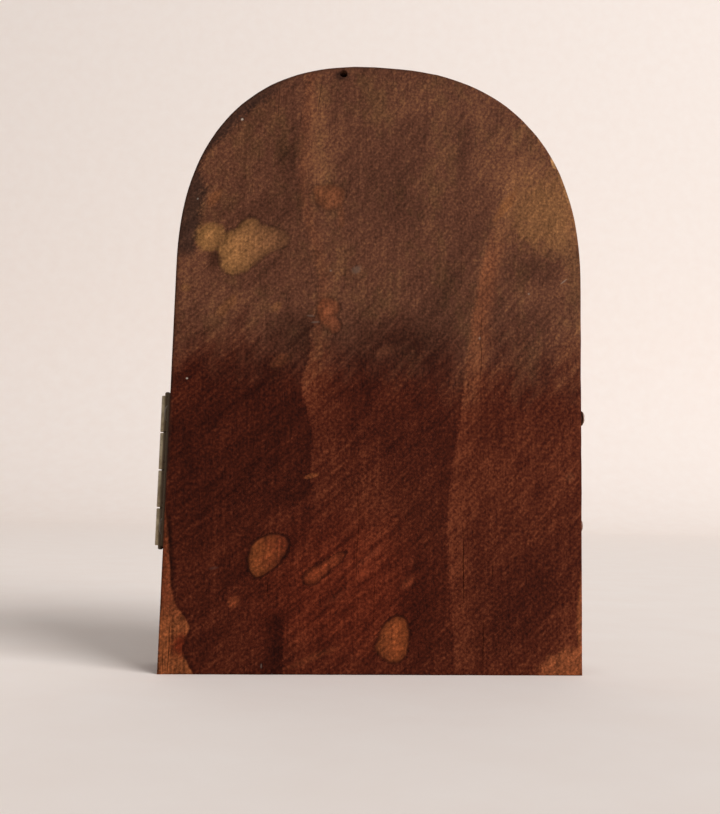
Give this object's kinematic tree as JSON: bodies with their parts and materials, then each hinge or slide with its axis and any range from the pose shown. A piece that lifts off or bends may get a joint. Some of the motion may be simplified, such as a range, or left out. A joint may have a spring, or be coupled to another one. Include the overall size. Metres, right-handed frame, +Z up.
{
  "type": "wooden triptych",
  "caption": "Small arch-topped wooden triptych: a stained centre panel with half-arch wings on side hinges that open to show framed pictures.",
  "frame": {"origin": "floor under the middle of the closed triptych", "axes": "+Z up, the front with the closed wings faces -Y, the back of the centre panel faces +Y"},
  "size_m": [0.0844, 0.0138, 0.119],
  "materials": {
    "stained_wood": "worn red-brown stain, fine saw lines",
    "painted_card": "gold ground with painted border",
    "gilded_wood": "rubbed gilding",
    "red_wood": "satin dark red paint",
    "dull_brass": "dull, lightly tarnished"
  },
  "bodies": {
    "centre": {"centre_panel": "stained_wood", "centre_picture": "painted_card", "centre_slip": "gilded_wood", "centre_cross": "red_wood", "left_panel_leaf": "dull_brass", "left_hinge_pin": "dull_brass", "left_panel_leaf_screw_upper": "dull_brass", "left_panel_leaf_screw_lower": "dull_brass", "right_panel_leaf": "dull_brass", "right_hinge_pin": "dull_brass", "right_panel_leaf_screw_upper": "dull_brass", "right_panel_leaf_screw_lower": "dull_brass"},
    "left_wing": {"left_wing_board": "stained_wood", "left_wing_picture": "painted_card", "left_wing_slip": "gilded_wood", "left_wing_leaf": "dull_brass", "left_wing_leaf_screw_upper": "dull_brass", "left_wing_leaf_screw_lower": "dull_brass"},
    "right_wing": {"right_wing_board": "stained_wood", "right_wing_picture": "painted_card", "right_wing_slip": "gilded_wood", "right_wing_leaf": "dull_brass", "right_wing_leaf_screw_upper": "dull_brass", "right_wing_leaf_screw_lower": "dull_brass"}
  },
  "joints": [
    {"name": "left_wing_hinge", "type": "hinge", "parent": "centre", "child": "left_wing", "pos_m": [-0.04113, -0.00025, 0.0391], "axis": [0, 0, -1], "range_deg": [0, 180]},
    {"name": "right_wing_hinge", "type": "hinge", "parent": "centre", "child": "right_wing", "pos_m": [0.04113, -0.00025, 0.0373], "axis": [0, 0, 1], "range_deg": [0, 180]}
  ]
}
